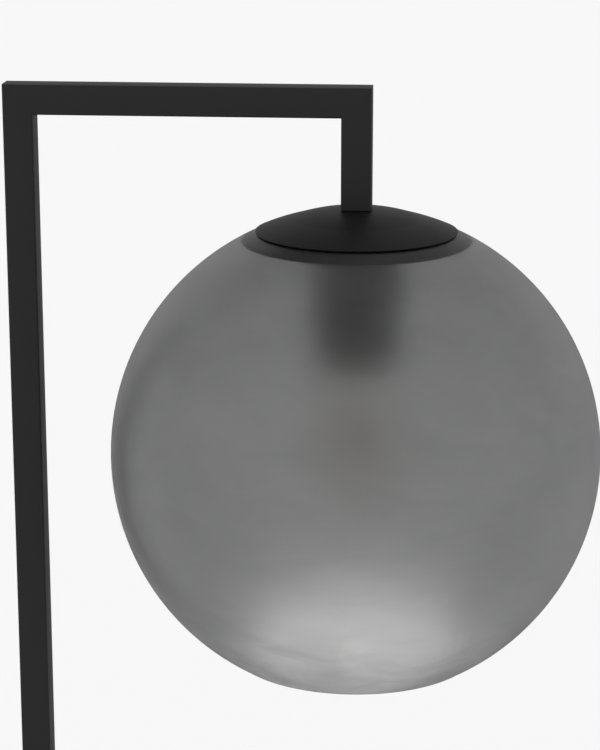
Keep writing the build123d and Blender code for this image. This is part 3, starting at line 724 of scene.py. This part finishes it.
def holderCover():
    # moulded cap: neck, sloping shoulder and skirt
    h = holder
    low, high = heightsOf("holder_cover")
    neck = high - h["neckLength"]
    shoulder = neck - h["shoulderLength"]
    innerNeck, innerShoulder = neck - h["neckWall"], shoulder - h["shoulderWall"]
    line = rounded([
        (h["bore"], high, h["boreEdge"]), (h["neck"], high, h["neckEdge"]),
        (h["neck"], neck, h["neckRound"]), (h["outer"], shoulder, h["shoulderRound"]),
        (h["outer"], low, h["edge"]), (h["inner"], low, h["edge"]),
        (h["inner"], innerShoulder, h["innerRound"]), (h["neck"], innerNeck, h["neckRound"]),
        (h["bore"], innerNeck, h["boreEdge"]),
    ], closed=True, steps=5)
    return turned("holderCover", line, globeCentre, segments=96, sharp=50)


washer = {"radius": 8.0, "edge": 0.2}


def neckWasher():
    # a flat ring with slightly rounded edges
    low, high = heightsOf("neck_washer")
    edge = washer["edge"]
    line = rounded([
        (nippleHole, low, edge), (washer["radius"], low, edge),
        (washer["radius"], high, edge), (nippleHole, high, edge),
    ], closed=True, steps=4)
    return turned("neckWasher", line, globeCentre, segments=64)


place(bulbEnvelope(), "bulb", looks["clearBulbGlass"], "bulb_clear_glass", "bulb_glass")
bulbCap = threadWall("bulbCap", "bulb_cap", bulbScrew)
place(bulbCap, "bulb", looks["nickelPlate"], "bulb_nickel", "bulb_cap")
place(bulbTip(), "bulb_foot", looks["nickelPlate"], "bulb_nickel", "bulb_tip")
place(bulbInsulator(), "bulb", looks["blackCapGlass"], "bulb_black_glass", "bulb_insulator")
place(bulbStem(), "bulb", looks["clearBulbGlass"], "bulb_clear_glass", "bulb_stem")
for rod in filamentRods():
    place(rod, "bulb", looks["phosphorSilicone"], "filament_phosphor", "bulb_filaments")
screwShell = threadWall("screwShell", "screw_shell", holderScrew)
place(screwShell, "lamp", looks["drawnBrass"], "brass_metal", "screw_shell")
place(holderBody(), "lamp", looks["mouldedPhenolic"], "black_phenolic", "holder_body")
place(holderCover(), "lamp", looks["mouldedPhenolic"], "black_phenolic", "holder_cover")
place(neckWasher(), "lamp", looks["mouldedRubber"], "black_rubber", "neck_washer")
print("bulb and lampholder made")

# base cover, with its round upper edge, the broken lower one, and the post's square hole; "spread" is how far
# out the rings of its flat top lie, as a share of the way from the hole to the edge
base = {
    "radius": 150.0, "wall": 1.5, "edge": 4.0, "edgeBreak": 0.4, "hole": 20.6, "holeCorner": 1.9,
    "spread": (0.02, 0.1, 0.25, 0.45, 0.7, 0.9),
}


def baseCover():
    # Pressed steel cover: a skin between the square post hole and the round rim. A point of its top is
    # (1 - s) * square(a) + s * circle(a), both seen from the post's axis at the angle a; the edge and the
    # skirt go on down from the circle.
    b = base
    low, high = nodeBox("base_cover")
    bottom, top = low[2] / mm, high[2] / mm
    a = np.linspace(0, 2 * pi, 256, endpoint=False)
    ray = np.stack([np.cos(a), np.sin(a)], 1)
    bend = np.radians(np.linspace(0, 90, 9))

    def circle(radius):
        # where the ray from the post's axis at x meets the circle about the base's middle, after a run of
        # -x cos a + sqrt((x cos a)^2 + R^2 - x^2)
        run = -postX * ray[:, 0] + np.sqrt((postX * ray[:, 0]) ** 2 + radius ** 2 - postX ** 2)
        return np.array([postX, 0]) + ray * run[:, None]

    def square(size, corner):
        # where the ray meets a square about the post: its side, at h / max(|cos a|, |sin a|), or in a corner
        # the arc about (k, k), at the larger root of |run * ray - (k, k)| = corner
        h = size / 2
        reach = h / np.maximum(np.abs(ray[:, 0]), np.abs(ray[:, 1]))
        k = h - corner
        c = np.abs(ray)
        dot = c @ np.array([k, k])
        arc = dot + np.sqrt(np.maximum(dot ** 2 - 2 * k ** 2 + corner ** 2, 0))
        inCorner = (c[:, 0] * arc > k) & (c[:, 1] * arc > k)
        return np.array([postX, 0]) + ray * np.where(inCorner, arc, reach)[:, None]

    def row(xy, z):
        return np.concatenate([xy, np.full((len(xy), 1), z)], 1)

    def bent(radius, height, edge):
        # the round edge: a quarter circle from the top at t = 0 to the skirt, (edge sin t, edge cos t)
        return [row(circle(radius - edge + edge * np.sin(t)), height - edge * (1 - np.cos(t))) for t in bend]

    hole = square(b["hole"], b["holeCorner"])
    innerR, innerTop, innerEdge = b["radius"] - b["wall"], top - b["wall"], b["edge"] - b["wall"]
    rows = [row(hole, innerTop), row(hole, top)]
    rows += [row(hole * (1 - s) + circle(b["radius"] - b["edge"]) * s, top) for s in b["spread"]]
    rows += bent(b["radius"], top, b["edge"])
    rows.append(row(circle(b["radius"]), bottom + b["edgeBreak"]))
    rows.append(row(circle(b["radius"] - b["edgeBreak"]), bottom))
    rows.append(row(circle(innerR), bottom))
    rows += bent(innerR, innerTop, innerEdge)[::-1]
    rows += [row(hole * (1 - s) + circle(innerR - innerEdge) * s, innerTop) for s in b["spread"][::-1]]
    return gridMesh("baseCover", np.stack(rows) * mm, closedU=True, sharp=40)


def drilled(obj, cutter):
    # takes the cutter out of a piece for good, and removes the cutter
    bore = obj.modifiers.new("inlet", "BOOLEAN")
    bore.object = cutter
    bore.operation = "DIFFERENCE"
    bpy.context.view_layer.update()
    cut = bpy.data.meshes.new_from_object(obj.evaluated_get(bpy.context.evaluated_depsgraph_get()))
    obj.modifiers.remove(bore)
    obj.data = cut
    bpy.data.objects.remove(cutter)
    return obj


# rubber grommet in the cover's edge, with the rounding of its lips, flanges and groove, and the hole for it
grommet = {
    "bore": 3.3, "neck": 4.35, "flange": 5.2, "groove": 0.9,
    "lip": 0.5, "rim": 0.55, "grooveEdge": 0.3,
}
inlet = {"radius": 4.5, "reach": 6}
grommetLow, grommetHigh = nodeBox("cable_grommet")
grommetCentre = (grommetLow + grommetHigh) / 2


def cableGrommet():
    # rubber spool: a bore with flared lips, two round flanges, and the groove that the sheet sits in
    g = grommet
    face = (grommetHigh - grommetLow)[0] / mm / 2
    line = rounded([
        (g["bore"], -face, g["lip"]), (g["flange"], -face, g["rim"]),
        (g["flange"], -g["groove"], g["grooveEdge"]), (g["neck"], -g["groove"]),
        (g["neck"], g["groove"]), (g["flange"], g["groove"], g["grooveEdge"]),
        (g["flange"], face, g["rim"]), (g["bore"], face, g["lip"]),
    ], closed=True, steps=5)
    return turned("cableGrommet", line, grommetCentre, segments=64, sharp=50, level=True)


def inletCutter():
    # a plain rod across the cover's edge
    r, reach = inlet["radius"], inlet["reach"]
    line = np.array([(0, -reach), (r, -reach), (r, reach), (0, reach)], float)
    return turned("inletCutter", line, grommetCentre, segments=64, closed=False, level=True)


cutter = inletCutter()
place(drilled(baseCover(), cutter), "lamp", looks["blackPowderCoat"], "frame_paint", "base_cover")
place(cableGrommet(), "lamp", looks["mouldedRubber"], "black_rubber", "cable_grommet")
print("base made")

# the studio: paper, its grain in waves per metre, and a sky that changes between two heights
studio = {
    "backdrop": "#f8f8f8", "paper": ("#f7f7f7", "#f9f9f9"), "paperSize": 60.0, "paperGrain": 300.0,
    "light": 0.76, "skyLow": 0.2, "skyHigh": 0.7,
    # how bright the room shows through glass, and how bright as a reflection
    "through": {"floor": 2.75, "wall": 2.15, "ceiling": 1.2},
    "mirror": {"floor": 0.44, "wall": 0.48, "ceiling": 0.36},
    # one wide, soft light from above, in front and to the left; its width and turns are in degrees
    "key": {"energy": 0.98, "angle": 50.0, "turn": (40, 0, -33)},
}


def choose(tree, factor, first, second):
    # The first value where the factor is 0, the second where it is 1. Each is a number or a socket, and goes
    # to sockets 2 and 3 of a Mix node.
    made = node(tree, "ShaderNodeMix")
    for socket, value in zip(made.inputs[2:4], (first, second)):
        if isinstance(value, float):
            socket.default_value = value
        else:
            tree.links.new(value, socket)
    tree.links.new(factor, made.inputs[0])
    return made.outputs[0]


def rayKinds(tree):
    # flags of Light Path: seen by the camera, by a reflected or transmitted ray, and by a transmitted ray
    path = node(tree, "ShaderNodeLightPath")
    both = node(tree, "ShaderNodeMath", {"operation": "MAXIMUM"})
    tree.links.new(path.outputs["Is Glossy Ray"], both.inputs[0])
    tree.links.new(path.outputs["Is Transmission Ray"], both.inputs[1])
    return path.outputs["Is Camera Ray"], both.outputs[0], path.outputs["Is Transmission Ray"]


def fade(tree, height, low, high):
    # a number that goes smoothly from low to high between two heights of the sky
    return node(tree, "ShaderNodeMapRange", {
        "interpolation_type": "SMOOTHSTEP", "From Min": studio["skyLow"], "From Max": studio["skyHigh"],
        "To Min": low, "To Max": high,
    }, Value=height).outputs[0]


def studioPaper():
    # Pale paper, lit by the studio and shadowed by the lamp. Glass shows it as an overexposed backdrop,
    # brighter than the studio's light makes it, and a reflection shows it dimmer.
    material, tree = newMaterial("studioPaper")
    indirect, transmitted = rayKinds(tree)[1:]
    level = choose(tree, transmitted, studio["mirror"]["floor"], studio["through"]["floor"])
    where = node(tree, "ShaderNodeNewGeometry").outputs["Position"]
    grain = node(tree, "ShaderNodeTexNoise", {"Scale": studio["paperGrain"], "Detail": 2.0}, Vector=where)
    bright = mixColour(tree, grain.outputs[0], studio["paper"][0], studio["paper"][1])
    behind = node(tree, "ShaderNodeVectorMath", {"operation": "SCALE"}, Vector=bright, Scale=level).outputs[0]
    shown = node(tree, "ShaderNodeMix", {"data_type": "RGBA", "clamp_result": False})
    tree.links.new(indirect, shown.inputs[0])
    tree.links.new(bright, shown.inputs[6])
    tree.links.new(behind, shown.inputs[7])
    paper = node(tree, "ShaderNodeBsdfDiffuse", None, Color=shown.outputs[2])
    return closeMaterial(material, tree, paper.outputs[0])


def studioAir():
    # The camera sees a pale backdrop, glass and metal see it change towards the ceiling, and everything else
    # gets plain light.
    through, mirror = studio["through"], studio["mirror"]
    world = bpy.data.worlds.new("studioAir")
    world.use_nodes = True
    tree = world.node_tree
    tree.nodes.clear()
    seen, indirect, transmitted = rayKinds(tree)
    direction = node(tree, "ShaderNodeTexCoord").outputs["Generated"]
    height = node(tree, "ShaderNodeSeparateXYZ", None, Vector=direction).outputs["Z"]
    reflected = fade(tree, height, mirror["wall"], mirror["ceiling"])
    behind = fade(tree, height, through["wall"], through["ceiling"])
    room = choose(tree, transmitted, reflected, behind)
    light = node(tree, "ShaderNodeBackground", {"Color": (1, 1, 1, 1), "Strength": studio["light"]})
    walls = node(tree, "ShaderNodeBackground", {"Color": (1, 1, 1, 1)}, Strength=room)
    backdrop = node(tree, "ShaderNodeBackground", {"Color": linear(studio["backdrop"]), "Strength": 1.0})
    first = node(tree, "ShaderNodeMixShader")
    second = node(tree, "ShaderNodeMixShader")
    for mixed, factor, low, high in ((first, indirect, light, walls), (second, seen, first, backdrop)):
        tree.links.new(factor, mixed.inputs[0])
        tree.links.new(low.outputs[0], mixed.inputs[1])
        tree.links.new(high.outputs[0], mixed.inputs[2])
    node(tree, "ShaderNodeOutputWorld", None, Surface=second.outputs[0])
    return world


half = studio["paperSize"] / 2
corners = [(-half, -half, 0), (half, -half, 0), (half, half, 0), (-half, half, 0)]
floorMesh = bpy.data.meshes.new("floor")
floorMesh.from_pydata(corners, [], [(0, 1, 2, 3)])
floor = bpy.data.objects.new("floor", floorMesh)
bpy.context.scene.collection.objects.link(floor)
floor.data.materials.append(studioPaper())
bpy.context.scene.world = studioAir()

key = bpy.data.objects.new("key", bpy.data.lights.new("key", "SUN"))
key.data.energy = studio["key"]["energy"]
key.data.angle = radians(studio["key"]["angle"])
key.rotation_euler = [radians(t) for t in studio["key"]["turn"]]
key.visible_glossy = False
key.visible_transmission = False
bpy.context.scene.collection.objects.link(key)

bpy.context.scene.view_settings.view_transform = "Standard"
print("studio made")
